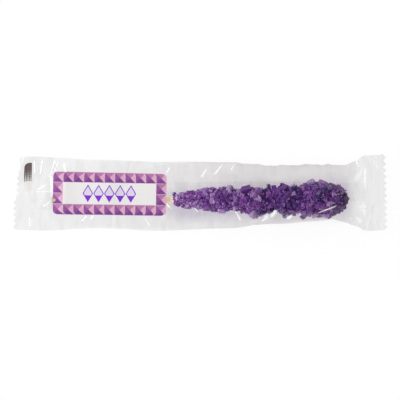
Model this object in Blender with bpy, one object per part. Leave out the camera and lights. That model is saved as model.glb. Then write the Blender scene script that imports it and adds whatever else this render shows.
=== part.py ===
# Rock candy on a wooden stick, sealed in a clear flow-wrap tube with a sticker on its front.
#
# The pack lies on its back: +X points from the label end to the candy's head, +Y across the pack,
# +Z up, out of the front. The origin is under the middle of the pack, on the surface that it lies on.
# film_bag is the sealed bag as one solid, out to its film; label is the sticker that lies over it.

import math

import bmesh
import bpy
from mathutils import Vector

MM = 0.001

# Film tube, in millimetres
PACK_LENGTH = 220.0
SEAL_LENGTH = 12.5
SEAL_THICKNESS = 0.6
LEFT_SEAL_HEIGHT = 1.0
RIGHT_SEAL_HEIGHT = 4.2
TOOTH_DEPTH = 1.8
TEETH = 12
STATIONS = 54

# Outline of the lying tube: position along the pack, lower edge, upper edge
OUTLINE = (
    (-110.0, -21.6, 21.4),
    (-92.0, -22.1, 21.5),
    (-60.0, -20.9, 19.9),
    (-25.0, -22.3, 18.8),
    (15.0, -20.8, 18.6),
    (45.0, -18.3, 16.6),
    (76.0, -15.9, 17.4),
    (85.0, -17.4, 17.5),
    (98.0, -22.2, 22.3),
    (110.0, -21.7, 22.5),
)

# Height of the film's top: low over the bare stick, then over the candy up to its head
CREST = (
    (-97.5, 1.3),
    (-89.0, 3.6),
    (-78.0, 6.2),
    (-50.0, 7.8),
    (-19.0, 9.2),
    (4.0, 14.0),
    (17.0, 15.9),
    (34.0, 17.5),
    (50.0, 19.6),
    (64.0, 21.9),
    (75.0, 22.1),
    (83.0, 18.4),
    (90.0, 10.5),
    (97.5, 4.5),
)

# The candy lies against the lower edge, so the crest leaves the middle of the tube towards the head
CREST_SIDE = ((-97.5, -0.02), (-20.0, -0.1), (30.0, -0.2), (60.0, -0.25), (97.5, -0.1))
UPPER_SLOPE = ((-97.5, 2.4), (-30.0, 2.2), (0.0, 1.7), (60.0, 1.6), (97.5, 1.9))
LOWER_SLOPE = ((-97.5, 2.4), (-30.0, 2.4), (0.0, 2.2), (60.0, 3.2), (97.5, 2.2))
UPPER_FLARE = 1.35         # how far the film's slope runs out flat towards its side folds
LOWER_FLARE = 1.1

SIDE_LIFT = 0.22           # height of the tube's side folds, as a share of its crest
FLAT_SHARE = 0.55          # share of the half width that lies flat on the surface

CANDY_FROM = -17.0
CANDY_TO = 87.0
LUMP_HEIGHT = 0.4
LUMP_LENGTH = 17.0
LUMP_WIDTH = 11.0

GATHER_HEIGHT = 0.8
GATHER_REACH = 10.5
GATHER_FOLDS = 5

# Curled corners of the end seals: a point on the fold, the fold's direction, radius and largest turn
LEFT_CURL = {"at": (-98.2, 21.1), "along": (-0.40, -0.92), "radius": 8.0, "turn": math.radians(30.0)}
RIGHT_CURL = {"at": (102.2, 21.6), "along": (-0.45, 0.89), "radius": 1.2, "turn": math.radians(35.0)}

# How far the cut ends stray inwards: position across the pack, at the left end, at the right end
CUT_STRAY = (
    (-22.0, 0.0, 0.0),
    (-3.6, 0.0, 0.3),
    (-2.0, 1.7, 0.3),
    (9.0, 2.3, 0.6),
    (14.0, 3.1, 0.9),
    (22.0, 5.2, 0.9),
)

# Sticker
LABEL_LENGTH = 66.7
LABEL_WIDTH = 25.4
LABEL_CORNER = 2.8
LABEL_THICKNESS = 0.3
LABEL_GAP = 0.3
LABEL_CENTRE = (-52.9, -0.4)
LABEL_TILT = math.radians(0.9)
LABEL_COLUMNS = 26
LABEL_ROWS = (-1.0, -0.985, -0.94, -0.87, -0.78, -0.5, -0.2, 0.1, 0.4, 0.6, 0.78, 0.87, 0.94, 0.985, 1.0)


def clear_scene():
    for old in list(bpy.data.objects):
        bpy.data.objects.remove(old, do_unlink=True)


def read_curve(points, x, column=1):
    """Value of a table of stations at x, eased between its rows."""
    if x <= points[0][0]:
        return points[0][column]
    for left, right in zip(points, points[1:]):
        if x <= right[0]:
            share = (x - left[0]) / (right[0] - left[0])
            share = share * share * (3.0 - 2.0 * share)
            return left[column] + (right[column] - left[column]) * share
    return points[-1][column]


def seal_height(x):
    return LEFT_SEAL_HEIGHT if x < 0.0 else RIGHT_SEAL_HEIGHT


def fullness(x):
    """0 in the end seals, 1 where the tube stands open."""
    inside = PACK_LENGTH / 2 - SEAL_LENGTH - abs(x)
    return min(1.0, max(0.0, inside / 16.0))


def gather(x, across):
    """Small folds that run from each end seal into the tube."""
    inside = PACK_LENGTH / 2 - SEAL_LENGTH - abs(x)
    if not 0.0 < inside < GATHER_REACH:
        return 0.0
    swell = math.sin(math.pi * inside / GATHER_REACH)
    return GATHER_HEIGHT * swell * math.cos(GATHER_FOLDS * math.pi * across + 0.02 * x)


def lump(x, y):
    """Rise and fall of the film over the crystals."""
    if not CANDY_FROM < x < CANDY_TO:
        return 0.0
    along = math.sin(math.pi * (x - CANDY_FROM) / (CANDY_TO - CANDY_FROM))
    wave = math.sin(2 * math.pi * x / LUMP_LENGTH + 0.9) * math.cos(2 * math.pi * y / LUMP_WIDTH + 0.12 * x)
    return LUMP_HEIGHT * math.sqrt(along) * wave


def edge_height(x):
    lifted = SIDE_LIFT * read_curve(CREST, x)
    return seal_height(x) + (lifted - seal_height(x)) * fullness(x)


def top_height(x, across):
    """Height of the film's outer face, where across runs from -1 to 1 between the side folds."""
    edge = edge_height(x) + SEAL_THICKNESS / 2
    if abs(x) > PACK_LENGTH / 2 - SEAL_LENGTH:
        return edge
    middle = read_curve(CREST_SIDE, x)
    if across > middle:
        away = (across - middle) / (1.0 - middle)
        power = read_curve(UPPER_SLOPE, x)
        flare = UPPER_FLARE
    else:
        away = (middle - across) / (1.0 + middle)
        power = read_curve(LOWER_SLOPE, x)
        flare = LOWER_FLARE
    swell = (1.0 - min(1.0, away) ** power) ** flare
    lower, upper = outline_at(x)
    y = lower + (upper - lower) * (across + 1.0) / 2
    ripple = (gather(x, across) + lump(x, y)) * (1.0 - away * away)
    return edge + max(0.0, read_curve(CREST, x) - edge) * swell + ripple * fullness(x)


def bottom_height(x, across):
    """Height of the film's underside: flat on the surface, lifting to the side folds and the seals."""
    edge = edge_height(x) - SEAL_THICKNESS / 2
    beyond = max(0.0, (abs(across) - FLAT_SHARE) / (1.0 - FLAT_SHARE))
    return edge * (1.0 - fullness(x) * (1.0 - beyond ** 2))


def outline_at(x):
    return read_curve(OUTLINE, x, 1), read_curve(OUTLINE, x, 2)


def curl(point, fold):
    """Roll what lies to the right of a fold line up round a radius, then straight on."""
    along = Vector(fold["along"]).normalized()
    outward = Vector((along.y, -along.x))
    offset = Vector((point.x - fold["at"][0], point.y - fold["at"][1]))
    beyond = offset.dot(outward)
    if beyond <= 0.0:
        return point
    radius = fold["radius"]
    turn = min(beyond / radius, fold["turn"])
    straight = beyond - radius * turn
    base = seal_height(point.x)
    proud = point.z - base
    reach = radius * math.sin(turn) + straight * math.cos(turn) - proud * math.sin(turn)
    rise = radius * (1.0 - math.cos(turn)) + straight * math.sin(turn) + proud * math.cos(turn)
    moved = offset + outward * (reach - beyond)
    return Vector((fold["at"][0] + moved.x, fold["at"][1] + moved.y, base + rise))


def film_point(along, across, is_top):
    """Place of one point of the film; along and across run from -1 to 1 over the flat tube."""
    x = along * PACK_LENGTH / 2
    lower, upper = outline_at(x)
    y = lower + (upper - lower) * (across + 1.0) / 2
    z = top_height(x, across) if is_top else bottom_height(x, across)
    if abs(along) > 0.9999 and round((across + 1.0) * TEETH) % 2 == 0:
        x -= math.copysign(TOOTH_DEPTH, along)
    into_seal = max(0.0, abs(x) - PACK_LENGTH / 2 + SEAL_LENGTH) / SEAL_LENGTH
    stray = read_curve(CUT_STRAY, y, 1 if x < 0.0 else 2)
    x -= math.copysign(into_seal * stray, x)
    point = Vector((x, y, z))
    if x < 0.0:
        return curl(point, LEFT_CURL)
    return curl(point, RIGHT_CURL)


def film_sheet(bm, is_top):
    """One face of the tube, as a grid that is bent into place; returns its boundary edges."""
    grid = bmesh.ops.create_grid(bm, x_segments=STATIONS, y_segments=2 * TEETH, size=1.0)
    verts = grid["verts"]
    faces = {face for vert in verts for face in vert.link_faces}
    edges = {edge for vert in verts for edge in vert.link_edges}
    for vert in verts:
        vert.co = film_point(vert.co.x, vert.co.y, is_top)
    if not is_top:
        bmesh.ops.reverse_faces(bm, faces=list(faces))
    return [edge for edge in edges if edge.is_boundary]


def make_material(name, colour, roughness, alpha=1.0):
    material = bpy.data.materials.new(name)
    material.use_nodes = True
    shader = material.node_tree.nodes["Principled BSDF"]
    shader.inputs["Base Color"].default_value = (*colour, 1.0)
    shader.inputs["Roughness"].default_value = roughness
    shader.inputs["Metallic"].default_value = 0.0
    shader.inputs["Alpha"].default_value = alpha
    return material


def make_object(name, bm, material):
    bmesh.ops.recalc_face_normals(bm, faces=bm.faces)
    bmesh.ops.scale(bm, vec=(MM, MM, MM), verts=bm.verts)
    mesh = bpy.data.meshes.new(name)
    bm.to_mesh(mesh)
    bm.free()
    mesh.shade_smooth()
    mesh.set_sharp_from_angle(angle=math.radians(40.0))
    mesh.materials.append(material)
    made = bpy.data.objects.new(name, mesh)
    bpy.context.scene.collection.objects.link(made)
    return made


def make_film_bag():
    bm = bmesh.new()
    rims = film_sheet(bm, True) + film_sheet(bm, False)
    bmesh.ops.bridge_loops(bm, edges=rims)
    material = make_material("clear_film", (0.62, 0.52, 0.70), 0.12, alpha=0.6)
    return make_object("film_bag", bm, material)


def label_edge(row):
    """Half length of the sticker at a share of its half width, with its corners rounded."""
    into_corner = abs(row) * LABEL_WIDTH / 2 - (LABEL_WIDTH / 2 - LABEL_CORNER)
    if into_corner <= 0.0:
        return LABEL_LENGTH / 2
    return LABEL_LENGTH / 2 - LABEL_CORNER + math.sqrt(max(0.0, LABEL_CORNER ** 2 - into_corner ** 2))


def label_point(column, row, lift):
    """Place of one point of the sticker, which follows the film under it at a small gap."""
    flat_x = column * label_edge(row)
    flat_y = row * LABEL_WIDTH / 2
    x = LABEL_CENTRE[0] + flat_x * math.cos(LABEL_TILT) + flat_y * math.sin(LABEL_TILT)
    y = LABEL_CENTRE[1] - flat_x * math.sin(LABEL_TILT) + flat_y * math.cos(LABEL_TILT)
    lower, upper = outline_at(x)
    across = 2.0 * (y - lower) / (upper - lower) - 1.0
    return Vector((x, y, top_height(x, across) + LABEL_GAP + lift))


def label_sheet(bm, lift):
    """One face of the sticker: a grid whose rows are closer in the rounded corners."""
    grid = bmesh.ops.create_grid(bm, x_segments=LABEL_COLUMNS, y_segments=len(LABEL_ROWS) - 1, size=1.0)
    verts = grid["verts"]
    edges = {edge for vert in verts for edge in vert.link_edges}
    for vert in verts:
        row = LABEL_ROWS[round((vert.co.y + 1.0) / 2 * (len(LABEL_ROWS) - 1))]
        vert.co = label_point(vert.co.x, row, lift)
    return [edge for edge in edges if edge.is_boundary]


def make_label():
    bm = bmesh.new()
    rims = label_sheet(bm, 0.0) + label_sheet(bm, LABEL_THICKNESS)
    bmesh.ops.bridge_loops(bm, edges=rims)
    return make_object("label", bm, make_material("paper_label", (0.42, 0.17, 0.38), 0.45))


clear_scene()
make_film_bag()
make_label()
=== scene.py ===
import math
import random

import bmesh
import bpy
import numpy as np
from mathutils import Matrix, Vector, noise


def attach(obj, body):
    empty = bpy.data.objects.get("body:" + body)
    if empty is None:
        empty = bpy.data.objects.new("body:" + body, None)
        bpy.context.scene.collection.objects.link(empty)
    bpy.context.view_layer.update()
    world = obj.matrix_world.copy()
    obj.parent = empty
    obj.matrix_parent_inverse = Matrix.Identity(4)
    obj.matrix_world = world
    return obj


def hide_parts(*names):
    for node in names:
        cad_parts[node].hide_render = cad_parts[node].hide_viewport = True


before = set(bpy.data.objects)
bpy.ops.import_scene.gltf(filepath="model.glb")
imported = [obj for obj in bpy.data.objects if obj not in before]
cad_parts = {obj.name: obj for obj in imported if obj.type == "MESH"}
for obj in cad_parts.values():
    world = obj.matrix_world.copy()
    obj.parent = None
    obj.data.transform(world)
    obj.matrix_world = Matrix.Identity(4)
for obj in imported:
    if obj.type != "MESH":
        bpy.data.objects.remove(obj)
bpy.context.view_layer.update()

mm = 0.001
scene = bpy.context.scene

# settings of a Mix node for colours: its inputs 0, 6 and 7 are the share and both colours
colourMix = {"data_type": "RGBA"}
colourTimes = {"data_type": "RGBA", "blend_type": "MULTIPLY"}


def toLinear(hexColour):
    values = [int(hexColour[i:i + 2], 16) / 255 for i in (1, 3, 5)]
    return tuple(v / 12.92 if v <= 0.04045 else ((v + 0.055) / 1.055) ** 2.4 for v in values) + (1.0,)


def newMaterial(name):
    material = bpy.data.materials.new(name)
    material.use_nodes = True
    material.node_tree.nodes.clear()
    return material, material.node_tree


def addNode(tree, kind, settings=None, **inputs):
    # settings: a dictionary, or just the name of a math node's operation
    # inputs: a socket's name with its spaces as _, or i0, i1 for a place
    # a value or a hex colour is set, a socket is linked, and so is the first output that a node uses
    node = tree.nodes.new("ShaderNode" + kind)
    if isinstance(settings, str):
        settings = {"operation": settings}
    for key, value in (settings or {}).items():
        setattr(node, key, value)
    for key, value in inputs.items():
        if key[0] == "i" and key[1:].isdigit():
            socket = node.inputs[int(key[1:])]
        else:
            socket = node.inputs[key.replace("_", " ")]
        if isinstance(value, bpy.types.Node):
            value = next(output for output in value.outputs if output.enabled)
        if isinstance(value, bpy.types.NodeSocket):
            tree.links.new(value, socket)
        else:
            socket.default_value = toLinear(value) if isinstance(value, str) else value
    return node


def setStops(ramp, *stops):
    # place and colour of each stop, a hex colour or a grey's share; a new ramp has two stops already
    for i, (place, colour) in enumerate(stops):
        stop = ramp.color_ramp.elements[i] if i < 2 else ramp.color_ramp.elements.new(place)
        stop.position = place
        stop.color = toLinear(colour) if isinstance(colour, str) else (colour, colour, colour, 1)


def addObject(name, data):
    made = bpy.data.objects.new(name, data)
    scene.collection.objects.link(made)
    return made


def makeObject(name, bm, scale):
    bmesh.ops.scale(bm, vec=(scale, scale, scale), verts=bm.verts)
    mesh = bpy.data.meshes.new(name)
    bm.to_mesh(mesh)
    bm.free()
    return addObject(name, mesh)


def finishPiece(name, bm, material, smoothAngle=40):
    # takes a shape in mm
    piece = makeObject(name, bm, mm)
    piece.data.materials.append(material)
    piece.data.shade_smooth()
    piece.data.set_sharp_from_angle(angle=math.radians(smoothAngle))
    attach(piece, "root")
    return piece


def readCurve(points, x, column=1):
    # value of a table of stations at x, eased between its rows, level beyond its ends
    x = np.asarray(x, float)
    xs = np.array([p[0] for p in points])
    ys = np.array([p[column] for p in points])
    x = np.clip(x, xs[0], xs[-1])
    i = np.clip(np.searchsorted(xs, x) - 1, 0, len(xs) - 2)
    share = (x - xs[i]) / (xs[i + 1] - xs[i])
    share = share * share * (3 - 2 * share)
    return ys[i] + (ys[i + 1] - ys[i]) * share


# crystals grown on a stick, the candy's head at +X
stick = {
    "from": -87.0, "to": 70.0,       # along the pack, mm
    "radius": 1.95,
    "side": -4.1,                    # where its axis runs across the pack
    "lowEnd": 2.5, "highEnd": 10.2,  # height of its axis at both ends
    "bevel": 0.35,
}

candy = {
    # along the pack, radius of the crust there, mm
    "profile": ((-15.6, 2.0), (-13.5, 3.5), (-6, 4.8), (4, 5.9), (13, 7.2), (21, 6.1), (32, 8.2), (42, 6.9),
                (50, 8.7), (56, 7.7), (63, 9.6), (69, 9.8), (74, 9.3), (80, 8.1), (84, 5.2), (85.6, 1.6)),
    "flatten": 0.92,                 # it is a little lower than wide
    # how far its middle strays from the stick's axis, mm
    "stray": ((-17, 0.0), (22, 0.2), (32, -1.2), (37, -1.0), (44, 0.2), (86, 0.2)),
    "count": 1650,
    "small": 1.75, "large": 3.8,     # crystal sizes where the crust is thinnest and thickest, mm
    "bigShare": 0.16,                # share of crystals that outgrow the others
    "roundedFrom": 3.1,              # size in mm from which a crystal has worn edges
    "glassyFrom": 0.86,              # tone from which it is clear
    "lowest": 0.35,                  # height that no crystal goes below, mm
    "coreShare": 0.66,               # the core's radius as a share of the crust's
    "seed": 21,
    # along the pack, how pale the crystals are there, how brown
    "tint": ((-16, 0.2, 0.0), (-2, 0.16, 0.0), (8, 0.02, 0.0), (30, 0.02, 0.0), (40, -0.24, 0.0),
             (54, -0.26, 0.0), (62, -0.14, 0.0), (78, -0.12, 0.1), (82, -0.04, 0.3), (85, -0.1, 0.75)),
}

# crystals that stand out: along, across, size in mm, tone (0 dark, 1 pale and clear), turn in degrees
standingOut = (
    (-15.0, -0.6, 2.2, 0.3, 80), (2.9, 1.6, 3.8, 0.82, 10), (7.6, 1.6, 3.6, 0.5, 60),
    (17.2, 1.4, 6.2, 0.92, 80), (12.8, -10.4, 4.6, 0.9, 0), (26.7, 1.4, 6.0, 0.25, 15),
    (33.3, 0.2, 5.0, 0.6, 70), (31.8, -11.2, 7.4, 0.89, 74), (24.6, -10.2, 3.2, 0.5, 30),
    (40.0, 3.6, 3.2, 0.1, 88), (48.3, 3.9, 4.2, 0.08, -20), (53.8, 3.4, 3.6, 0.7, 30),
    (49.7, -12.4, 4.4, 0.08, 60), (60.3, -13.6, 4.0, 0.1, 45), (64.7, 6.0, 5.0, 0.93, 25),
    (71.0, 5.2, 5.0, 0.62, -20), (80.4, 3.4, 2.8, 0.45, 75), (53.7, -1.0, 4.2, 0.72, 20),
    (66.5, -12.6, 4.2, 0.85, 20), (73.0, -12.4, 4.6, 0.7, 160), (-4.0, 0.2, 2.6, 0.75, 40),
)


def stickAxis(x):
    share = (x - stick["from"]) / (stick["to"] - stick["from"])
    return stick["lowEnd"] + (stick["highEnd"] - stick["lowEnd"]) * share


def stickMatrix():
    tilt = math.atan2(stick["highEnd"] - stick["lowEnd"], stick["to"] - stick["from"])
    middle = ((stick["from"] + stick["to"]) / 2, stick["side"], (stick["lowEnd"] + stick["highEnd"]) / 2)
    return Matrix.Translation(middle) @ Matrix.Rotation(math.pi / 2 - tilt, 4, "Y")


def makeStick(material):
    bm = bmesh.new()
    length = stick["to"] - stick["from"]
    bmesh.ops.create_cone(bm, cap_ends=True, segments=28, radius1=stick["radius"], radius2=stick["radius"],
                          depth=length)
    rim = [e for e in bm.edges if len({round(v.co.z, 4) for v in e.verts}) == 1 and e.is_manifold
           and any(len(f.verts) > 4 for f in e.link_faces)]
    bmesh.ops.bevel(bm, geom=rim, offset=stick["bevel"], offset_type="OFFSET", segments=3, profile=0.5,
                    affect="EDGES", material=-1)
    bmesh.ops.transform(bm, matrix=stickMatrix(), verts=bm.verts)
    return finishPiece("stick", bm, material)


def crystalShape(rng, chamfer):
    # a sucrose prism, long along x: a box with sloped ends and cut corners, 1 long
    cuts, cutReach = 5, 0.8
    bm = bmesh.new()
    bmesh.ops.create_cube(bm, size=1.0)
    bmesh.ops.scale(bm, vec=(1.0, rng.uniform(0.5, 0.85), rng.uniform(0.38, 0.65)), verts=bm.verts)
    for i in range(cuts):
        normal = Vector((rng.uniform(-1, 1), rng.uniform(-1, 1), rng.uniform(-0.7, 0.7))).normalized()
        reach = max(v.co.dot(normal) for v in bm.verts)
        everything = bm.verts[:] + bm.edges[:] + bm.faces[:]
        cut = bmesh.ops.bisect_plane(bm, geom=everything, plane_co=normal * reach * cutReach,
                                     plane_no=normal, clear_outer=True)
        rim = [g for g in cut["geom_cut"] if isinstance(g, bmesh.types.BMEdge)]
        bmesh.ops.contextual_create(bm, geom=rim)
    if chamfer > 0:
        bmesh.ops.bevel(bm, geom=bm.edges[:], offset=chamfer, offset_type="OFFSET", segments=1, profile=0.5,
                        affect="EDGES", material=-1)
    bmesh.ops.triangulate(bm, faces=bm.faces)
    bmesh.ops.recalc_face_normals(bm, faces=bm.faces)
    co = np.array([v.co[:] for v in bm.verts])
    bm.verts.index_update()
    faces = np.array([[v.index for v in f.verts] for f in bm.faces])
    bm.free()
    return co, faces


def candyRadius(x):
    return readCurve(candy["profile"], x)


def crystalSize(x):
    widest = max(p[1] for p in candy["profile"])
    return candy["small"] + (candy["large"] - candy["small"]) * (candyRadius(x) / widest) ** 1.3


def scatterCrystals(rng):
    # as many to the square millimetre as their size there asks for; place, size, tone and turn of each
    first, last = candy["profile"][0][0], candy["profile"][-1][0]
    stations = np.linspace(first, last, 400)
    most = float(np.max(candyRadius(stations) / crystalSize(stations) ** 2))
    placed = []
    while len(placed) < candy["count"]:
        x = rng.uniform(first, last)
        radius = float(candyRadius(x))
        size = float(crystalSize(x))
        if rng.random() > radius / size ** 2 / most:
            continue
        turn = rng.uniform(0, 2 * math.pi)
        if rng.random() < 1 - candy["bigShare"]:
            size *= rng.uniform(0.55, 1.15)
        else:
            size *= rng.uniform(1.2, 1.6)
        # the crust swells and sinks over about 9 mm
        swell = 1.0 + 0.13 * noise.noise(Vector((x / 9, math.cos(turn) * 1.3, math.sin(turn) * 1.3)))
        reach = max(0.3, radius * swell - size * rng.uniform(0.2, 0.6))
        place = (x, stick["side"] + float(readCurve(candy["stray"], x)) + reach * math.cos(turn),
                 stickAxis(x) + reach * math.sin(turn) * candy["flatten"])
        # darker and paler patches about 5 mm wide, and single crystals that are paler still
        around = (math.cos(turn) * radius / 5, math.sin(turn) * radius / 5)
        patchy = 0.4 * noise.noise(Vector((x / 5, 4 + around[0], around[1])))
        pale = max(0.0, noise.noise(Vector(place) / 2.2) - 0.3)
        tone = 0.17 + 0.42 * rng.random() + patchy + pale + float(readCurve(candy["tint"], x, 1))
        placed.append((place, size, min(0.85, tone), None))
    for x, y, size, tone, turn in standingOut:
        # set on the upper side, a fifth of the way down into the crust
        over = (y - stick["side"]) / max(float(candyRadius(x)), abs(y - stick["side"]))
        rise = float(candyRadius(x)) * 0.8 * math.sqrt(max(0.0, 1 - over * over)) * candy["flatten"]
        placed.append(((x, y, stickAxis(x) + rise), size, tone, math.radians(turn)))
    return placed


def makeCrystals(material):
    rng = random.Random(candy["seed"])
    fine = [crystalShape(rng, 0.0) for i in range(12)]
    rounded = [crystalShape(rng, 0.03) for i in range(6)]
    glassy = [crystalShape(rng, 0.09) for i in range(4)]
    allCo, allFaces, tones, browns = [], [], [], []
    start = 0
    for place, size, tone, turn in scatterCrystals(rng):
        if tone > candy["glassyFrom"]:
            shapes = glassy
        elif size > candy["roundedFrom"]:
            shapes = rounded
        else:
            shapes = fine
        co, faces = rng.choice(shapes)
        if turn is None:
            spin = Matrix.Rotation(rng.uniform(0, 6.28), 3, "X")
            spin = spin @ Matrix.Rotation(rng.uniform(0, 6.28), 3, "Y")
            spin = spin @ Matrix.Rotation(rng.uniform(0, 6.28), 3, "Z")
        else:
            spin = Matrix.Rotation(turn, 3, "Z") @ Matrix.Rotation(rng.uniform(-0.4, 0.4), 3, "Y")
            spin = spin @ Matrix.Rotation(rng.uniform(0.3, 1.3), 3, "X")
        allCo.append(co @ np.array(spin).T * size + np.array(place))
        allFaces.append(faces + start)
        tones.append(np.full(len(faces), min(1.0, max(0.0, tone))))
        browns.append(np.full(len(faces), float(readCurve(candy["tint"], place[0], 2))))
        start += len(co)
    # joined as arrays, which is much quicker than joining that many objects
    co = np.concatenate(allCo)
    co[:, 2] = np.maximum(co[:, 2], candy["lowest"])
    mesh = bpy.data.meshes.new("crystals")
    mesh.from_pydata((co * mm).tolist(), [], np.concatenate(allFaces).tolist())
    for name, values in (("tone", tones), ("brown", browns)):
        layer = mesh.attributes.new(name, "FLOAT", "FACE")
        layer.data.foreach_set("value", np.concatenate(values).astype(np.float32))
    mesh.materials.append(material)
    piece = addObject("crystals", mesh)
    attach(piece, "root")
    return piece


def makeCandyCore(material):
    # the profile spun round the x axis, then roughened and moved on to the stick
    bm = bmesh.new()
    xs = np.linspace(candy["profile"][0][0] + 1.5, candy["profile"][-1][0] - 3.0, 48)
    heights = [max(0.05, float(candyRadius(x)) * candy["coreShare"]) for x in xs]
    verts = [bm.verts.new((float(x), 0.0, height)) for x, height in zip(xs, heights)]
    verts[0].co.z = 0.0
    verts[-1].co.z = 0.0
    edges = [bm.edges.new(pair) for pair in zip(verts, verts[1:])]
    bmesh.ops.spin(bm, geom=verts + edges, cent=(0, 0, 0), axis=(1, 0, 0), angle=2 * math.pi, steps=28,
                   use_merge=True)
    bmesh.ops.remove_doubles(bm, verts=bm.verts, dist=0.001)
    for v in bm.verts:
        rough = 1 + 0.18 * noise.noise(v.co * 0.35)
        v.co.y *= rough
        v.co.z *= rough * candy["flatten"]
        v.co.y += stick["side"] + float(readCurve(candy["stray"], v.co.x))
        v.co.z += stickAxis(v.co.x)
    bmesh.ops.recalc_face_normals(bm, faces=bm.faces)
    return finishPiece("candyCore", bm, material, smoothAngle=60)


# the sticker, mm
label = {
    "length": 66.7, "width": 25.4, "corner": 2.8, "thick": 0.12,
    "centre": (-52.9, -0.4), "tilt": math.radians(0.9),
    "lift": 0.12,                    # glue line between film and paper
    "meshAlong": 66, "meshAcross": 40,
    "studsAlong": 11, "studsAcross": 4,
    "gems": 5, "gemPitch": 6.3, "gemHigh": 10.6,
}


def underLabel(places, margin):
    # which places lie under the sticker, at least margin mm inside its edge
    away = places[:, :2] - np.array(label["centre"])
    along = away[:, 0] * math.cos(label["tilt"]) - away[:, 1] * math.sin(label["tilt"])
    across = away[:, 0] * math.sin(label["tilt"]) + away[:, 1] * math.cos(label["tilt"])
    return (np.abs(along) < label["length"] / 2 - margin) & (np.abs(across) < label["width"] / 2 - margin)


def plateShape(columns, rows, place):
    # both faces of a thin plate, with its map: place(u, v, face) gives the points for shares from 0 to 1
    bm = bmesh.new()
    uvLayer = bm.loops.layers.uv.new("print")
    rims = []
    for face in (0, 1):
        grid = bmesh.ops.create_grid(bm, x_segments=columns, y_segments=rows, size=0.5)
        verts = grid["verts"]
        flat = np.array([v.co[:2] for v in verts]) + 0.5
        faces = {f for v in verts for f in v.link_faces}
        for f in faces:
            for corner in f.loops:
                corner[uvLayer].uv = (corner.vert.co.x + 0.5, corner.vert.co.y + 0.5)
        for v, co in zip(verts, place(flat[:, 0], flat[:, 1], face)):
            v.co = co
        edges = {e for v in verts for e in v.link_edges}
        rims += [e for e in edges if e.is_boundary]
    bmesh.ops.bridge_loops(bm, edges=rims)
    bmesh.ops.recalc_face_normals(bm, faces=bm.faces)
    return bm


def labelPlace(u, v, face):
    # the sticker bends with the film under it and keeps its real width along the bend
    flatV = (v - 0.5) * label["width"]
    intoCorner = np.abs(flatV) - (label["width"] / 2 - label["corner"])
    cut = label["corner"] - np.sqrt(np.maximum(0, label["corner"] ** 2 - np.maximum(0, intoCorner) ** 2))
    flatU = (u - 0.5) * 2 * (label["length"] / 2 - cut)
    x = label["centre"][0] + flatU
    ys = np.linspace(-15, 15, 301)
    places = []
    for xi, ui, vi in zip(x, flatU, flatV):
        lower, upper = filmSides(xi)
        zs = filmTop(np.full(ys.shape, xi), 2 * (ys - lower) / (upper - lower) - 1)
        run = np.concatenate([[0], np.cumsum(np.hypot(np.diff(ys), np.diff(zs)))])
        middle = label["centre"][1] - ui * math.sin(label["tilt"])
        y = np.interp(vi + np.interp(middle, ys, run), run, ys)
        xTurned = xi + (y - middle) * math.sin(label["tilt"])
        z = np.interp(y, ys, zs)
        places.append((xTurned, y, z + label["lift"] + face * label["thick"]))
    return places


def makeLabel(material):
    bm = plateShape(label["meshAlong"], label["meshAcross"], labelPlace)
    piece = finishPiece("sticker", bm, material)
    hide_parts("label")
    return piece


# the film tube's form before it crumples, in mm, as the CAD solid has it
film = {
    "length": 220.0, "sealLength": 12.5,
    "mouth": 16.0,                   # run over which the tube opens beside a seal
    "leftSealHeight": 1.0, "rightSealHeight": 4.2,
    "teeth": 12, "toothDepth": 1.8,
    "wall": 0.12,                    # gap between both faces in the seals
    "alongSteps": 220, "acrossSteps": 48,
    "outline": ((-110.0, -21.6, 21.4), (-92.0, -22.1, 21.5), (-60.0, -20.9, 19.9), (-25.0, -22.3, 18.8),
                (15.0, -20.8, 18.6), (45.0, -18.3, 16.6), (66.0, -17.0, 17.0), (76.0, -16.1, 17.4),
                (84.0, -17.5, 17.4), (91.3, -20.4, 19.9), (98.0, -22.2, 22.3), (110.0, -21.7, 22.5)),
    # the ridge's height and place, and how it falls away to both sides
    "crest": ((-97.5, 1.3), (-89.0, 3.6), (-78.0, 5.7), (-50.0, 7.7), (-19.0, 9.2), (4.0, 14.0),
              (17.0, 15.6), (34.0, 17.2), (50.0, 19.2), (64.0, 21.4), (75.0, 21.6), (83.0, 18.0),
              (90.0, 10.5), (97.5, 4.5)),
    "crestSide": ((-97.5, -0.02), (-20.0, -0.1), (30.0, -0.2), (60.0, -0.25), (97.5, -0.1)),
    "upperSlope": ((-97.5, 2.4), (-30.0, 2.2), (0.0, 1.7), (60.0, 1.6), (97.5, 1.9)),
    "lowerSlope": ((-97.5, 2.4), (-30.0, 2.4), (0.0, 2.2), (60.0, 3.2), (97.5, 2.2)),
    "upperFlare": 1.35, "lowerFlare": 1.1,
    "sideLift": 0.22, "flatShare": 0.55,
    # how far the cut ends stray inwards: across the pack, at the left end, at the right end
    "cut": ((-22.0, 0.0, 0.0), (-3.6, 0.0, 0.3), (-2.0, 1.7, 0.3), (9.0, 2.1, 0.6), (14.0, 2.5, 0.9),
            (22.0, 3.2, 0.9)),
    "waveHeight": 0.24, "waveFrom": 5.0,   # small gathers in its upper side, from this place to the right
    # what one layer lets through: flat, and under a painted grey shade where the tube is blown up, fully 5
    # mm above the height that follows; its least gloss
    "tint": "#fbfbfb", "paintedShadeTint": "#edebec", "paintedShadeFrom": -1, "gloss": 0.036,
}
leftCurl = {"at": (-98.2, 21.1), "along": (-0.40, -0.92), "radius": 8.0, "turn": math.radians(30)}
rightCurl = {"at": (102.2, 21.6), "along": (-0.45, 0.89), "radius": 1.2, "turn": math.radians(24)}


def insideSeal(x):
    return film["length"] / 2 - film["sealLength"] - np.abs(x)


def sealHeight(x):
    return np.where(np.asarray(x) < 0, film["leftSealHeight"], film["rightSealHeight"])


def fullness(x):
    # how far the tube is open, 0 in the seals
    return np.clip(insideSeal(x) / film["mouth"], 0, 1)


def filmEdge(x):
    lifted = film["sideLift"] * readCurve(film["crest"], x)
    return sealHeight(x) + (lifted - sealHeight(x)) * fullness(x)


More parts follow.
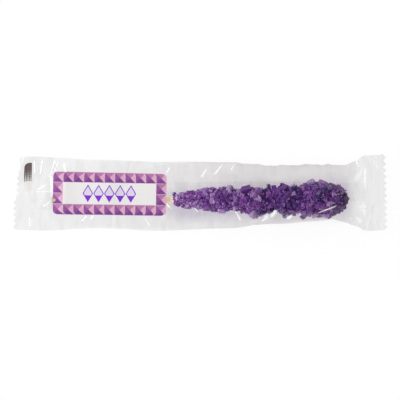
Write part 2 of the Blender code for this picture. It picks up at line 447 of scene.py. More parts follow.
def filmSides(x):
    return readCurve(film["outline"], x, 1), readCurve(film["outline"], x, 2)


def filmTop(x, across):
    edge = filmEdge(x) + film["wall"] / 2
    middle = readCurve(film["crestSide"], x)
    upper = across > middle
    away = np.where(upper, (across - middle) / (1 - middle), (middle - across) / (1 + middle))
    power = np.where(upper, readCurve(film["upperSlope"], x), readCurve(film["lowerSlope"], x))
    flare = np.where(upper, film["upperFlare"], film["lowerFlare"])
    swell = (1 - np.clip(away, 0, 1) ** power) ** flare
    rise = np.maximum(0, readCurve(film["crest"], x) - edge) * swell
    return np.where(insideSeal(x) < 0, edge, edge + rise)


def filmBottom(x, across):
    edge = filmEdge(x) - film["wall"] / 2
    beyond = np.clip((np.abs(across) - film["flatShare"]) / (1 - film["flatShare"]), 0, 1)
    return np.maximum(0.05, edge * (1 - fullness(x) * (1 - beyond ** 2)))


def curlUp(points, fold):
    # rolls what lies to the right of a fold line up round a radius, then straight on
    along = np.array(fold["along"]) / np.hypot(*fold["along"])
    outward = np.array((along[1], -along[0]))
    offset = points[:, :2] - np.array(fold["at"])
    beyond = offset @ outward
    radius = fold["radius"]
    turn = np.clip(beyond / radius, 0, fold["turn"])
    straight = np.maximum(0, beyond) - radius * turn
    base = sealHeight(points[:, 0])
    proud = points[:, 2] - base
    reach = radius * np.sin(turn) + straight * np.cos(turn) - proud * np.sin(turn)
    rise = radius * (1 - np.cos(turn)) + straight * np.sin(turn) + proud * np.cos(turn)
    moved = points.copy()
    curled = beyond > 0
    moved[curled, :2] += outward * (reach - beyond)[curled, None]
    moved[curled, 2] = (base + rise)[curled]
    return moved


def placeFilm(flat, isTop):
    # flat holds shares from -1 to 1 along and across the tube
    x = flat[:, 0] * film["length"] / 2
    across = flat[:, 1]
    lower, upper = filmSides(x)
    y = lower + (upper - lower) * (across + 1) / 2
    z = filmTop(x, across) if isTop else filmBottom(x, across)
    # two waves, 15 and 7 mm long, that grow over 20 mm
    wave = np.sin(x * 0.42) + 0.6 * np.sin(x * 0.93 + 1.0)
    grown = np.clip((x - film["waveFrom"]) / 20, 0, 1)
    y = y + film["waveHeight"] * wave * grown * np.clip(across, 0, 1) ** 3
    tooth = np.abs(((across + 1) / 2 * film["teeth"]) % 1 * 2 - 1)   # 1 in the valleys, 0 at the tips
    nearEnd = np.clip((np.abs(x) - film["length"] / 2 + 4) / 4, 0, 1)   # the teeth fade out within 4 mm
    x = x - np.sign(x) * film["toothDepth"] * tooth * nearEnd
    intoSeal = np.clip(-insideSeal(x) / film["sealLength"], 0, 1)
    x = x + intoSeal * np.where(x < 0, readCurve(film["cut"], y, 1), -readCurve(film["cut"], y, 2))
    points = np.stack([x, y, z], axis=1)
    points = np.where(x[:, None] < 0, curlUp(points, leftCurl), curlUp(points, rightCurl))
    return points


def filmSheet(bm, isTop):
    grid = bmesh.ops.create_grid(bm, x_segments=film["alongSteps"], y_segments=film["acrossSteps"],
                                 size=1.0)
    verts = grid["verts"]
    flat = np.array([v.co[:2] for v in verts])
    shareLayer = bm.verts.layers.float_vector["share"]
    for v, co, f in zip(verts, placeFilm(flat, isTop), flat):
        v.co = co
        v[shareLayer] = (f[0], f[1], 1.0 if isTop else -1.0)
    edges = {e for v in verts for e in v.link_edges}
    return [e for e in edges if e.is_boundary]


def makeFilmForm():
    bm = bmesh.new()
    bm.verts.layers.float_vector.new("share")
    rims = filmSheet(bm, True) + filmSheet(bm, False)
    bmesh.ops.bridge_loops(bm, edges=rims)
    bmesh.ops.recalc_face_normals(bm, faces=bm.faces)
    return bm


# sharp creases in the film's front: from, to, half width, height, all in mm
creases = (
    # beside the left seal, where the tube opens
    ((-97.2, 19.5), (-96.8, 11.8), 0.65, 0.41), ((-92.4, 19.6), (-93.6, 10.0), 0.72, 0.45),
    ((-84.6, 20.6), (-87.6, 10.0), 0.65, 0.41), ((-82.3, 19.4), (-85.2, 12.2), 0.58, 0.38),
    ((-79.4, 17.6), (-78.4, 11.8), 0.86, 0.52), ((-95.6, 1.6), (-89.4, 5.4), 0.65, 0.38),
    ((-96.2, 0.7), (-86.8, 0.6), 0.45, 0.3), ((-96.0, -1.0), (-86.6, -1.1), 0.45, 0.3),
    ((-100.4, -13.0), (-99.8, -21.0), 0.5, 0.3), ((-98.8, -16.0), (-98.6, -21.4), 0.45, 0.3),
    # under the sticker
    ((-69.6, -17.4), (-65.4, -12.8), 0.9, 0.5), ((-63.8, -15.6), (-61.8, -13.0), 0.7, 0.4),
    ((-32.4, -14.0), (-28.8, -20.4), 0.5, 0.34),
    # above the candy, and along it
    ((-19.8, 11.4), (-17.0, 15.4), 0.8, 0.45),
    ((0.7, 8.8), (4.2, 14.2), 1.0, 0.6), ((7.7, 9.9), (13.6, 17.0), 0.9, 0.55),
    ((18.0, 12.8), (20.6, 17.6), 0.8, 0.45), ((-19.6, -6.0), (-16.2, -9.6), 0.65, 0.41),
    ((-3.4, -8.4), (-0.8, -11.4), 0.58, 0.38), ((20.6, -10.4), (23.8, -16.4), 0.86, 0.52),
    ((37.8, -12.6), (39.4, -15.2), 2.4, 0.9), ((44.6, -9.8), (40.6, -14.2), 1.8, 0.8),
    ((36.0, -16.6), (38.6, -14.0), 1.2, 0.6), ((50.4, -15.4), (53.4, -12.6), 1.5, 0.65),
    ((67.2, -11.8), (79.0, -7.2), 0.65, 0.38),
    # beside the right seal
    ((91.4, 20.6), (93.0, 14.4), 0.5, 0.3), ((88.8, -1.0), (93.6, -7.6), 0.65, 0.38),
    ((87.6, -14.4), (88.2, -15.8), 0.58, 0.38), ((95.8, -18.6), (97.0, -20.6), 0.42, 0.24),
    ((101.2, 21.4), (106.0, 10.6), 0.8, 0.32),
)

creaseMargin = 0.8                   # film beside a crease that is meshed finely with it, mm

drape = {
    "scale": 0.02,                   # the simulation runs at this many metres to the millimetre
    "frames": 20, "slack": 0.005,    # share by which the film is larger than its form
    "foldHold": 0.3,                 # how firmly the side folds keep their place
    "clearance": 0.25,               # mm between film and contents
    "cloth": {
        "quality": 7, "mass": 0.2, "air_damping": 2.0,
        "tension_stiffness": 40, "compression_stiffness": 40, "shear_stiffness": 15,
        "bending_stiffness": 14, "bending_damping": 0.5,
        "tension_damping": 10, "compression_damping": 10, "shear_damping": 10,
    },
    # over the candy's tip the film is drawn taut: from, to, lowest height in mm, smoothing passes
    "tautFrom": 76, "tautTo": 94, "tautAbove": 2, "tautPasses": 12,
}


def contentsHull():
    # closed shapes round the candy and the stick, for the film to lie on, in mm
    rings, sides = 64, 28
    crystals = np.array([v.co[:] for v in bpy.data.objects["crystals"].data.vertices]) / mm
    xs = np.linspace(candy["profile"][0][0] - 2, candy["profile"][-1][0] + 2.0, rings)
    step = xs[1] - xs[0]
    dy = crystals[:, 1] - stick["side"]
    dz = crystals[:, 2] - stickAxis(crystals[:, 0])
    radius = np.hypot(dy, dz)
    angle = np.arctan2(dz, dy) % (2 * math.pi)
    ring = np.clip(np.round((crystals[:, 0] - xs[0]) / step).astype(int), 0, rings - 1)
    side = np.round(angle / (2 * math.pi) * sides).astype(int) % sides
    reach = np.full((rings, sides), 0.5)
    np.maximum.at(reach, (ring, side), radius)
    # widened to nearly the reach of its neighbours, so that the film finds no pits
    wide = reach.copy()
    for da, db in ((1, 0), (-1, 0), (0, 1), (0, -1)):
        moved = np.roll(reach, db, axis=1)
        moved = np.concatenate([moved[da:], moved[-1:]]) if da > 0 else moved
        moved = np.concatenate([moved[:1], moved[:-1]]) if da < 0 else moved
        wide = np.maximum(wide, moved * 0.96)
    # the order of these vertices and faces changes how the film falls
    bm = bmesh.new()
    loops = []
    for i, x in enumerate(xs):
        loop = []
        for j in range(sides):
            turn = 2 * math.pi * j / sides
            z = stickAxis(x) + wide[i, j] * math.sin(turn)
            loop.append(bm.verts.new((x, stick["side"] + wide[i, j] * math.cos(turn), max(0.3, z))))
        loops.append(loop)
    for a, b in zip(loops, loops[1:]):
        for j in range(sides):
            bm.faces.new((a[j], b[j], b[(j + 1) % sides], a[(j + 1) % sides]))
    bm.faces.new(loops[0])
    bm.faces.new(list(reversed(loops[-1])))
    bmesh.ops.create_cone(bm, cap_ends=True, segments=16, radius1=stick["radius"], radius2=stick["radius"],
                          depth=stick["to"] - stick["from"], matrix=stickMatrix())
    bmesh.ops.recalc_face_normals(bm, faces=bm.faces)
    return bm


def addCollision(made, clearance):
    made.modifiers.new("Collision", "COLLISION")
    made.collision.thickness_outer = clearance
    made.collision.thickness_inner = clearance * 4
    made.collision.cloth_friction = 5.0


def simulateFilm(bm):
    # lets the film crumple over the contents; returns its vertices' places in mm
    scale = drape["scale"]
    hull = makeObject("hull", contentsHull(), scale)
    addCollision(hull, drape["clearance"] * scale)
    ground = bmesh.new()
    bmesh.ops.create_grid(ground, x_segments=8, y_segments=4, size=200.0)
    floor = makeObject("ground", ground, scale)
    addCollision(floor, 0.05 * scale)
    copied = bm.copy()
    shares = np.array([v[copied.verts.layers.float_vector["share"]][:] for v in copied.verts])
    places = np.array([v.co[:] for v in copied.verts])
    sheet = makeObject("sheet", copied, scale)
    hold = sheet.vertex_groups.new(name="hold")
    inside = insideSeal(shares[:, 0] * film["length"] / 2)
    onLabel = (shares[:, 2] > 0) & underLabel(places, -0.6)
    for i in np.nonzero((inside < 0.5) | onLabel)[0].tolist():
        hold.add([i], 1.0, "REPLACE")
    onFold = (np.abs(shares[:, 1]) > 0.96) & (inside >= 0.5)
    for i in np.nonzero(onFold)[0].tolist():
        hold.add([i], drape["foldHold"], "REPLACE")
    cloth = sheet.modifiers.new("Cloth", "CLOTH")
    settings = cloth.settings
    for key, value in drape["cloth"].items():
        setattr(settings, key, value)
    settings.vertex_group_mass = "hold"
    settings.shrink_min = -drape["slack"]
    settings.effector_weights.gravity = 0.05
    cloth.collision_settings.distance_min = drape["clearance"] * scale
    cloth.collision_settings.collision_quality = 3
    cloth.point_cache.frame_start = 1
    cloth.point_cache.frame_end = drape["frames"]
    for i in range(1, drape["frames"] + 1):
        scene.frame_set(i)
    settled = sheet.evaluated_get(bpy.context.evaluated_depsgraph_get())
    found = np.empty(len(settled.data.vertices) * 3)
    settled.data.vertices.foreach_get("co", found)
    scene.frame_set(1)
    for made in (sheet, hull, floor):
        bpy.data.objects.remove(made, do_unlink=True)
    return found.reshape(-1, 3) / scale


def nearCrease(bm, crease):
    # the vertices of the front that a crease moves: how far from its line each lies, how far along it
    shareLayer = bm.verts.layers.float_vector["share"]
    start, end = np.array(crease[0]), np.array(crease[1])
    run = end - start
    places = np.array([v.co[:2] for v in bm.verts]) - start
    share = np.clip(places @ run / (run @ run), 0, 1)
    away = places - share[:, None] * run
    away = np.hypot(away[:, 0], away[:, 1])
    verts = list(bm.verts)
    near = np.nonzero(away < crease[2] + creaseMargin)[0].tolist()
    near = [i for i in near if verts[i][shareLayer].z > 0.5]
    return [verts[i] for i in near], away[near], share[near]


def smoothVerts(bm, verts, passes):
    for i in range(passes):
        bmesh.ops.smooth_vert(bm, verts=verts, factor=0.5, use_axis_x=True, use_axis_y=True,
                              use_axis_z=True)


def addCreases(bm):
    bm.verts.layers.float.new("fold")
    for crease in creases:
        chosen = set(nearCrease(bm, crease)[0])
        edges = {e for v in chosen for e in v.link_edges if e.verts[0] in chosen and e.verts[1] in chosen}
        bmesh.ops.subdivide_edges(bm, edges=list(edges), cuts=3, use_grid_fill=True)
        verts, away, share = nearCrease(bm, crease)
        smoothVerts(bm, verts, 3)
        # a ridge that tapers off at both ends
        taper = np.minimum(1, 6 * share * (1 - share)) ** 0.7
        ridge = np.maximum(0, 1 - away / crease[2]) ** 1.3 * taper * crease[3]
        foldLayer = bm.verts.layers.float["fold"]
        for v, rise in zip(verts, ridge.tolist()):
            v.co.z += rise
            v[foldLayer] = max(v[foldLayer], rise / crease[3])


def makeFilm(material):
    bm = makeFilmForm()
    bm.verts.ensure_lookup_table()
    for v, co in zip(bm.verts, simulateFilm(bm)):
        v.co = co
    overTip = [v for v in bm.verts if drape["tautFrom"] < v.co.x < drape["tautTo"]
               and v.co.z > drape["tautAbove"]]
    smoothVerts(bm, overTip, drape["tautPasses"])
    for v in bm.verts:
        v.co.z = max(0.0, v.co.z)
    addCreases(bm)
    piece = finishPiece("film", bm, material, smoothAngle=60)
    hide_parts("film_bag")
    return piece


# the print mark on the left seal: its corners, in mm
printMark = {
    "from": (-104.8, 1.0), "to": (-99.2, 17.8),
    "lift": 0.1, "thick": 0.05, "corner": 2.6,
    "bars": 5,
}


def onFilm(x, y, isTop):
    # points of the film before it crumples, for places in mm
    lower, upper = filmSides(x)
    across = 2 * (y - lower) / (upper - lower) - 1
    return placeFilm(np.stack([x / (film["length"] / 2), across], axis=1), isTop)


def onSeal(u, v, face):
    # places on the left seal's front: u and v are shares of the mark's length and height
    low, high = printMark["from"], printMark["to"]
    x = low[0] + (high[0] - low[0]) * u
    y = low[1] + (high[1] - low[1]) * v
    # its upper corner at the outside is round
    drop = printMark["corner"] * (1 - np.sqrt(np.clip(1 - np.clip(1 - u * 1.4, 0, 1) ** 2, 0, 1)))
    places = onFilm(x, y - drop * v, True)
    places[:, 2] += printMark["lift"] + face * printMark["thick"]
    return places.tolist()


def makePrintMark(material):
    piece = finishPiece("printMark", plateShape(12, 30, onSeal), material)
    piece.visible_shadow = False     # it lies on the film, and light passes both as one
    return piece


# the seam where the film's sides are joined, on the pack's back
backSeam = {
    "from": -97.0, "to": 97.0, "width": 10.5, "thick": 0.03, "gap": 0.02,
    "centre": ((-107.0, -4.5), (-88.0, -4.5), (-40.0, 0.6), (-10.0, 1.2), (30.0, 1.6), (97.0, 0.6)),
    "tint": "#ffffff", "paintedShadeTint": "#fcfbfb", "paintedShadeFrom": -5, "gloss": 0.004,
}


def underTube(u, v, face):
    x = backSeam["from"] + (backSeam["to"] - backSeam["from"]) * u
    y = readCurve(backSeam["centre"], x) + (v - 0.5) * backSeam["width"]
    places = onFilm(x, y, False)
    under = np.maximum(0.0, places[:, 2] - backSeam["gap"] - backSeam["thick"])
    places[:, 2] = under + face * backSeam["thick"]
    return places.tolist()


def makeBackSeam(material):
    piece = finishPiece("backSeam", plateShape(120, 8, underTube), material)
    piece.visible_shadow = False     # it lies on the film, and light passes both as one
    return piece


def filmInk():
    # press ink on film: dull and dark, upright bars broken by fine gaps that widen downwards
    material, tree = newMaterial("filmInkDark")
    uvMap = addNode(tree, "UVMap", {"uv_map": "print"})
    split = addNode(tree, "SeparateXYZ", Vector=uvMap)
    bars = addNode(tree, "Math", "PINGPONG", i0=split, i1=0.5 / printMark["bars"])
    dashes = addNode(tree, "Math", "PINGPONG", i0=split.outputs[1], i1=0.035)
    both = addNode(tree, "Math", "MULTIPLY_ADD", i0=dashes, i1=1.4, i2=bars)
    cover = addNode(tree, "MapRange", Value=split.outputs[1], From_Min=0.36, From_Max=0.85, To_Min=0.085,
                    To_Max=-0.005)
    inked = addNode(tree, "Math", "GREATER_THAN", i0=both, i1=cover)
    within = addNode(tree, "Math", "GREATER_THAN", i0=split.outputs[1], i1=0.36)
    shown = addNode(tree, "Math", "MULTIPLY", i0=inked, i1=within)
    where = addNode(tree, "TexCoord").outputs["Object"]
    # blots under 1 mm wide, coarser than real ones so that they show
    blots = addNode(tree, "TexNoise", Vector=where, Scale=1500.0, Detail=2.0)
    tone = addNode(tree, "ValToRGB", Fac=blots)
    setStops(tone, (0, "#4a4244"), (1, "#8a7a78"))
    ink = addNode(tree, "BsdfPrincipled", Base_Color=tone, Roughness=0.5)
    ground = addNode(tree, "BsdfTransparent", Color="#fefdfb")
    mix = addNode(tree, "MixShader", Fac=shown, i1=ground, i2=ink)
    addNode(tree, "OutputMaterial", Surface=mix)
    return material


def birchDowel():
    material, tree = newMaterial("birchDowelTurned")
    where = addNode(tree, "TexCoord").outputs["Object"]
    # grain about 1 mm wide and 17 mm long, coarser than birch has so that it shows
    mapped = addNode(tree, "Mapping", Vector=where, Scale=(60, 900, 900))
    grain = addNode(tree, "TexNoise", Vector=mapped, Scale=1.0, Detail=4.0)
    ramp = addNode(tree, "ValToRGB", Fac=grain)
    setStops(ramp, (0, "#ecdab4"), (1, "#fff6e2"))
    bump = addNode(tree, "Bump", Strength=0.2, Distance=0.0001, Height=grain)
    # its left, sawn end is painted darker, a painted shade against the left light that catches it; towards
    # the candy it has a painted glow of its own, which stands for the bright pack round it
    split = addNode(tree, "SeparateXYZ", Vector=where)
    paintedEndShade = addNode(tree, "MapRange", Value=split, From_Min=-0.086, From_Max=-0.08, To_Min=0.65)
    darker = addNode(tree, "Mix", colourTimes, i0=1.0, i6=ramp, i7=paintedEndShade)
    glow = addNode(tree, "MapRange", Value=split, From_Min=-0.08, From_Max=-0.03, To_Max=0.42)
    shader = addNode(tree, "BsdfPrincipled", Base_Color=darker, Roughness=0.6, Emission_Color="#f4deb0",
                     Emission_Strength=glow, Normal=bump)
    addNode(tree, "OutputMaterial", Surface=shader)
    return material


def sugarCrystal():
    # coloured sugar grown in syrup: glassy, flat-faced, with a painted shade that deepens it where it is
    # thick and a faint painted glow, with growth steps about 1 mm wide; only the palest crystals let much
    # light through
    material, tree = newMaterial("rockSugarGrownPurple")
    tone = addNode(tree, "Attribute", {"attribute_name": "tone"}).outputs["Fac"]
    brown = addNode(tree, "Attribute", {"attribute_name": "brown"}).outputs["Fac"]
    ramp = addNode(tree, "ValToRGB", Fac=tone)
    setStops(ramp, (0, "#451878"), (1, "#dcbcec"), (0.5, "#9852b4"))
    browned = addNode(tree, "Mix", colourMix, i0=brown, i6=ramp, i7="#4a2a38")
    where = addNode(tree, "TexCoord").outputs["Object"]
    steps = addNode(tree, "TexVoronoi", Vector=where, Scale=1000.0)
    depth = addNode(tree, "MapRange", Value=steps, From_Max=0.7, To_Min=0.84, To_Max=1.1)
    stepped = addNode(tree, "Mix", colourTimes, i0=1.0, i6=browned, i7=depth)
    # a painted shade: a slanting face is drawn deeper, for the longer way light crosses the sugar there, as
    # in coloured glass
    slant = addNode(tree, "LayerWeight", Blend=0.5)
    paintedSlantShade = addNode(tree, "MapRange", Value=slant.outputs["Facing"], From_Min=0.15, From_Max=0.8,
                    To_Min=1.05, To_Max=0.7)
    colour = addNode(tree, "Mix", colourTimes, i0=1.0, i6=stepped, i7=paintedSlantShade)
    bump = addNode(tree, "Bump", Strength=0.35, Distance=0.0003, Height=steps)
    clear = addNode(tree, "MapRange", Value=tone, From_Min=0.86, To_Min=0.12, To_Max=0.95)
    # the browned tip is duller
    dull = addNode(tree, "MapRange", Value=brown, To_Min=0.17, To_Max=0.5)
    # a faint violet glow of its own, painted light that lifts its shaded sides
    shader = addNode(tree, "BsdfPrincipled", Base_Color=colour, Roughness=dull, IOR=1.54,
                     Specular_IOR_Level=0.45, Transmission_Weight=clear, Emission_Color="#8a3cd0",
                     Emission_Strength=0.03, Normal=bump)
    addNode(tree, "OutputMaterial", Surface=shader)
    return material


def candyHeart():
    # the crust under the outer crystals, where their colour adds up, in cells about 2 mm wide
    material, tree = newMaterial("rockSugarPackedPurple")
    where = addNode(tree, "TexCoord").outputs["Object"]
    cells = addNode(tree, "TexVoronoi", Vector=where, Scale=500.0)
    ramp = addNode(tree, "ValToRGB", Fac=cells)
    setStops(ramp, (0, "#34105e"), (1, "#6e32a4"))
    # a painted glow of its own stands for the light that the crystals over it pass down, so it is never
    # quite dark
    shader = addNode(tree, "BsdfPrincipled", Base_Color=ramp, Roughness=0.6, Specular_IOR_Level=0.1,
                     Emission_Color="#8a3cd0", Emission_Strength=0.07)
    addNode(tree, "OutputMaterial", Surface=shader)
    return material


def printedPaper():
    # coated paper label, printed: a satin sheet whose colours are flat fields of ink
    material, tree = newMaterial("paperLabelCoatedPrinted")
    uvMap = addNode(tree, "UVMap", {"uv_map": "print"})
    middle = (label["studsAlong"] / 2, label["studsAcross"] / 2, 0)
    # border of square studs, each a low pyramid with four faces of its own shade
    stud = addNode(tree, "VectorMath", "MULTIPLY", i0=uvMap,
                   i1=(label["studsAlong"], label["studsAcross"], 0))
    inStud = addNode(tree, "VectorMath", "FRACTION", i0=stud)
    fromTip = addNode(tree, "VectorMath", "SUBTRACT", i0=inStud, i1=(0.5, 0.5, 0))
    side = addNode(tree, "SeparateXYZ", Vector=fromTip)
    awayVector = addNode(tree, "VectorMath", "ABSOLUTE", i0=fromTip)
    away = addNode(tree, "SeparateXYZ", Vector=awayVector)
    toRight = addNode(tree, "Math", "GREATER_THAN", i0=side, i1=0.0)
    toTop = addNode(tree, "Math", "GREATER_THAN", i0=side.outputs[1], i1=0.0)
    sideways = addNode(tree, "Math", "GREATER_THAN", i0=away, i1=away.outputs[1])
    shadeAlong = addNode(tree, "Mix", colourMix, i0=toRight, i6="#a05aa6", i7="#eeb8d6")
    shadeAcross = addNode(tree, "Mix", colourMix, i0=toTop, i6="#864a9a", i7="#c482b0")
    faces = addNode(tree, "Mix", colourMix, i0=sideways, i6=shadeAcross, i7=shadeAlong)
    furthest = addNode(tree, "Math", "MAXIMUM", i0=away, i1=away.outputs[1])
    atGap = addNode(tree, "Math", "GREATER_THAN", i0=furthest, i1=0.468)
    gapShare = addNode(tree, "Math", "MULTIPLY", i0=atGap, i1=0.55)
    border = addNode(tree, "Mix", colourMix, i0=gapShare, i6=faces, i7="#f0d3e8")
    # off-white panel inside the border
    fromMiddle = addNode(tree, "VectorMath", "SUBTRACT", i0=stud, i1=middle)
    farVector = addNode(tree, "VectorMath", "ABSOLUTE", i0=fromMiddle)
    far = addNode(tree, "SeparateXYZ", Vector=farVector)
    pastLength = addNode(tree, "Math", "GREATER_THAN", i0=far, i1=middle[0] - 1)
    pastWidth = addNode(tree, "Math", "GREATER_THAN", i0=far.outputs[1], i1=middle[1] - 1)
    offPanel = addNode(tree, "Math", "MAXIMUM", i0=pastLength, i1=pastWidth)
    # a row of lozenge gems on the panel: pale above, violet below, violet rim
    centred = addNode(tree, "VectorMath", "SUBTRACT", i0=uvMap, i1=(0.5, 0.5, 0))
    gem = addNode(tree, "VectorMath", "MULTIPLY", i0=centred,
                  i1=(label["length"] / label["gemPitch"], 2 * label["width"] / label["gemHigh"], 0))
    gemPlace = addNode(tree, "SeparateXYZ", Vector=gem)
    shifted = addNode(tree, "Math", "ADD", i0=gemPlace, i1=0.5 * (label["gems"] % 2))
    toEdge = addNode(tree, "Math", "PINGPONG", i0=shifted, i1=0.5)
    high = addNode(tree, "Math", "ABSOLUTE", i0=gemPlace.outputs[1])
    fromGem = addNode(tree, "Math", "MULTIPLY_ADD", i0=toEdge, i1=-2.0, i2=high)
    alongRow = addNode(tree, "Math", "ABSOLUTE", i0=gemPlace)
    inRow = addNode(tree, "Math", "GREATER_THAN", i0=label["gems"] / 2, i1=alongRow)
    inGem = addNode(tree, "Math", "GREATER_THAN", i0=-0.02, i1=fromGem)
    onGem = addNode(tree, "Math", "MULTIPLY", i0=inRow, i1=inGem)
    atRim = addNode(tree, "Math", "GREATER_THAN", i0=fromGem, i1=-0.22)
    below = addNode(tree, "Math", "GREATER_THAN", i0=-0.22, i1=gemPlace.outputs[1])
    violet = addNode(tree, "Math", "MAXIMUM", i0=atRim, i1=below)
    gems = addNode(tree, "Mix", colourMix, i0=violet, i6="#f1e6f8", i7="#8b38dc")
    panel = addNode(tree, "Mix", colourMix, i0=onGem, i6="#fdfafa", i7=gems)
    ink = addNode(tree, "Mix", colourMix, i0=offPanel, i6=panel, i7=border)
    where = addNode(tree, "TexCoord").outputs["Object"]
    # paper fibre, drawn about 1 mm coarse so that it shows
    fibre = addNode(tree, "TexNoise", Vector=where, Scale=900.0, Detail=3.0)
    mottle = addNode(tree, "MapRange", Value=fibre, To_Min=0.97, To_Max=1.03)
    tinted = addNode(tree, "Mix", colourTimes, i0=1.0, i6=ink, i7=mottle)
    bump = addNode(tree, "Bump", Strength=0.15, Distance=0.00005, Height=fibre)
    shader = addNode(tree, "BsdfPrincipled", Base_Color=tinted, Roughness=0.5, Specular_IOR_Level=0.25,
                     Normal=bump)
    addNode(tree, "OutputMaterial", Surface=shader)
    return material


def clearFilm(name, sheet):
    # biaxially oriented polypropylene, clear and glossy: it only greys what lies behind it a little
    material, tree = newMaterial(name)
    # round the candy's head, where it is blown up, the film has a painted grey shade: a share along, a
    # share up
    where = addNode(tree, "TexCoord").outputs["Object"]
    split = addNode(tree, "SeparateXYZ", Vector=where)
    along = addNode(tree, "MapRange", Value=split, From_Min=-0.11, From_Max=0.11)
    swell = addNode(tree, "ValToRGB", Fac=along)
    setStops(swell, (0.2, 0), (0.75, 1), (0.5, 0.55), (0.62, 0.85), (0.88, 1), (0.93, 0.1))
    up = addNode(tree, "MapRange", Value=split.outputs[2], From_Min=sheet["paintedShadeFrom"] * mm,
                 From_Max=(sheet["paintedShadeFrom"] + 5) * mm)
    full = addNode(tree, "Math", "MULTIPLY", i0=swell, i1=up)
    tint = addNode(tree, "Mix", colourMix, i0=full, i6=sheet["tint"], i7=sheet["paintedShadeTint"])
    # soft wrinkles about 6 mm wide and a few times as long, running across the tube: their light and dark
    # bands are painted shade in what the film lets through, and the same noise bumps its gloss
    stretched = addNode(tree, "Mapping", Vector=where, Rotation=(0, 0, 0.3), Scale=(150, 50, 40))
    wrinkles = addNode(tree, "TexNoise", Vector=stretched, Scale=1.0, Detail=1.5, Distortion=1.2)
    shade = addNode(tree, "MapRange", Value=wrinkles, From_Min=0.35, From_Max=0.65, To_Min=0.972,
                    To_Max=1.004)
    wrinkled = addNode(tree, "Mix", colourTimes, i0=1.0, i6=tint, i7=shade)
    clear = addNode(tree, "BsdfTransparent", Color=wrinkled)
    bent = addNode(tree, "Bump", Distance=0.00005, Height=wrinkles)
    # a crease is hazy and glossier than the flat film, and brighter still by a painted highlight
    fold = addNode(tree, "Attribute", {"attribute_name": "fold"}).outputs["Fac"]
    haze = addNode(tree, "MapRange", Value=fold, To_Min=0.07, To_Max=0.4)
    gloss = addNode(tree, "BsdfAnisotropic", Color="#ffffff", Roughness=haze, Normal=bent)
    # a thin sheet reflects alike from both sides: a few per cent square on, nearly all at a graze
    facing = addNode(tree, "LayerWeight", Blend=0.5)
    fifth = addNode(tree, "Math", "POWER", i0=facing.outputs["Facing"], i1=5.0)
    plain = addNode(tree, "MapRange", Value=fifth, To_Min=sheet["gloss"], To_Max=0.9)
    share = addNode(tree, "MapRange", Value=fold, To_Min=plain, To_Max=0.3)
    mix = addNode(tree, "MixShader", Fac=share, i1=clear, i2=gloss)
    # and it has a painted highlight: a white glow of its own, whatever light is near
    white = addNode(tree, "BsdfPrincipled", Base_Color="#f9f9f9", Roughness=0.5, Emission_Color="#ffffff",
                    Emission_Strength=0.3)
    whiter = addNode(tree, "MapRange", Value=fold, From_Min=0.15, From_Max=0.8, To_Max=0.6)
    both = addNode(tree, "MixShader", Fac=whiter, i1=mix, i2=white)
    addNode(tree, "OutputMaterial", Surface=both)
    return material


# the floor, in metres; beside the candy it has a painted violet shadow, wider at the head
tableTop = {
    "halfSide": 3.0, "below": 0.00005,
    "backdropFrom": 0.25, "backdropTo": 0.7,
    "grey": "#616161", "glow": 0.91,
    "shade": "#e3dfea", "shadeAt": (0.035, -0.005, 0), "shadeTurn": 0.045,
    "shadeHalfLength": 0.045, "shadeFull": 0.005, "shadeGone": 0.015,
}

# low and far off, so that only a crease or a steep fold mirrors them; the left one is the main light
# place, width and height in metres, power in watts
softboxes = {
    "softboxLeft": ((-4.4, 0.4, 2.6), 9.0, 2.4, 340.0),
    "softboxRightBack": ((3.2, 2.8, 2.7), 2.2, 1.6, 26.0),
    "softboxRightFront": ((3.2, -2.8, 2.7), 2.2, 1.6, 26.0),
}

cameraView = {"lens": 123.0, "sensor": 36.0, "place": (0.0, -0.0041, 0.805)}   # straight above, in metres


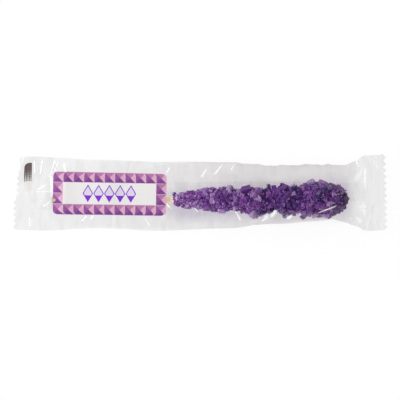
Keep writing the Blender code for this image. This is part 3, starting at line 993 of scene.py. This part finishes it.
def litTableTop():
    # painted board, matt white: most of its white is its own light, far away all of it, so that it runs
    # on into the backdrop
    material, tree = newMaterial("tableTopWhiteMatt")
    where = addNode(tree, "TexCoord").outputs["Object"]
    away = addNode(tree, "VectorMath", "LENGTH", i0=where)
    far = addNode(tree, "MapRange", Value=away, From_Min=tableTop["backdropFrom"],
                  From_Max=tableTop["backdropTo"])
    # a painted violet shadow round the candy, wider at its head, tints the floor's own light
    fromCandy = addNode(tree, "Mapping", {"vector_type": "TEXTURE"}, Vector=where,
                        Location=tableTop["shadeAt"], Rotation=(0, 0, tableTop["shadeTurn"]))
    split = addNode(tree, "SeparateXYZ", Vector=fromCandy)
    narrower = addNode(tree, "MapRange", Value=split, From_Min=-0.05, From_Max=0.05, To_Min=1.15,
                       To_Max=0.88)
    squeeze = addNode(tree, "CombineXYZ", X=1.0, Y=narrower)
    aside = addNode(tree, "VectorMath", "MULTIPLY", i0=fromCandy, i1=squeeze)
    size = addNode(tree, "VectorMath", "ABSOLUTE", i0=aside)
    past = addNode(tree, "VectorMath", "SUBTRACT", i0=size, i1=(tableTop["shadeHalfLength"], 0, 0))
    beyond = addNode(tree, "VectorMath", "MAXIMUM", i0=past, i1=(0, 0, 0))
    gap = addNode(tree, "VectorMath", "LENGTH", i0=beyond)
    pastPaintedShadow = addNode(tree, "MapRange", {"interpolation_type": "SMOOTHSTEP"}, Value=gap,
                  From_Min=tableTop["shadeFull"], From_Max=tableTop["shadeGone"])
    shade = addNode(tree, "Mix", colourMix, i0=pastPaintedShadow, i6=tableTop["shade"], i7="#ffffff")
    matt = addNode(tree, "BsdfDiffuse", Color=tableTop["grey"])
    glow = addNode(tree, "Emission", Color=shade, Strength=tableTop["glow"])
    near = addNode(tree, "AddShader", i0=matt, i1=glow)
    backdrop = addNode(tree, "Emission", Color="#ffffff")
    both = addNode(tree, "MixShader", Fac=far, i1=near, i2=backdrop)
    addNode(tree, "OutputMaterial", Surface=both)
    return material


def makeFloor(material):
    bm = bmesh.new()
    bmesh.ops.create_grid(bm, x_segments=1, y_segments=1, size=tableTop["halfSide"])
    bmesh.ops.translate(bm, vec=(0, 0, -tableTop["below"]), verts=bm.verts)
    floor = makeObject("floor", bm, 1.0)
    floor.data.materials.append(material)


def makeSky():
    # a bright horizon and a dark ceiling, so that level film shows what lies under it
    world = bpy.data.worlds.new("world")
    scene.world = world
    world.use_nodes = True
    tree = world.node_tree
    tree.nodes.clear()
    where = addNode(tree, "TexCoord")
    split = addNode(tree, "SeparateXYZ", Vector=where.outputs["Generated"])
    ramp = addNode(tree, "ValToRGB", Fac=split.outputs[2])
    setStops(ramp, (0.04, "#ffffff"), (0.34, "#7e7e7e"))
    # the camera itself sees a plain white backdrop
    seen = addNode(tree, "LightPath")
    colour = addNode(tree, "Mix", colourMix, i0=seen.outputs["Is Camera Ray"], i6=ramp, i7="#ffffff")
    sky = addNode(tree, "Background", Color=colour)
    addNode(tree, "OutputWorld", Surface=sky)


def makeLights():
    for name, (place, width, height, power) in softboxes.items():
        data = bpy.data.lights.new(name, "AREA")
        data.shape = "RECTANGLE"
        data.size = width
        data.size_y = height
        data.energy = power
        light = addObject(name, data)
        light.location = place
        light.rotation_euler = (-Vector(place)).to_track_quat("-Z", "Y").to_euler()   # at the pack


def makeCamera():
    data = bpy.data.cameras.new("camera")
    data.lens = cameraView["lens"]
    data.sensor_width = cameraView["sensor"]
    data.clip_start = 0.01
    camera = addObject("camera", data)
    camera.location = cameraView["place"]
    scene.camera = camera


makeStick(birchDowel())
makeCandyCore(candyHeart())
makeCrystals(sugarCrystal())
print("candy and stick made")
makeLabel(printedPaper())
makeFilm(clearFilm("polypropyleneFilmClear", film))
makeBackSeam(clearFilm("polypropyleneSeamClear", backSeam))
makePrintMark(filmInk())
print("film made")
makeFloor(litTableTop())
makeSky()
makeLights()
makeCamera()
scene.view_settings.view_transform = "Standard"
print("floor, lights and camera made")
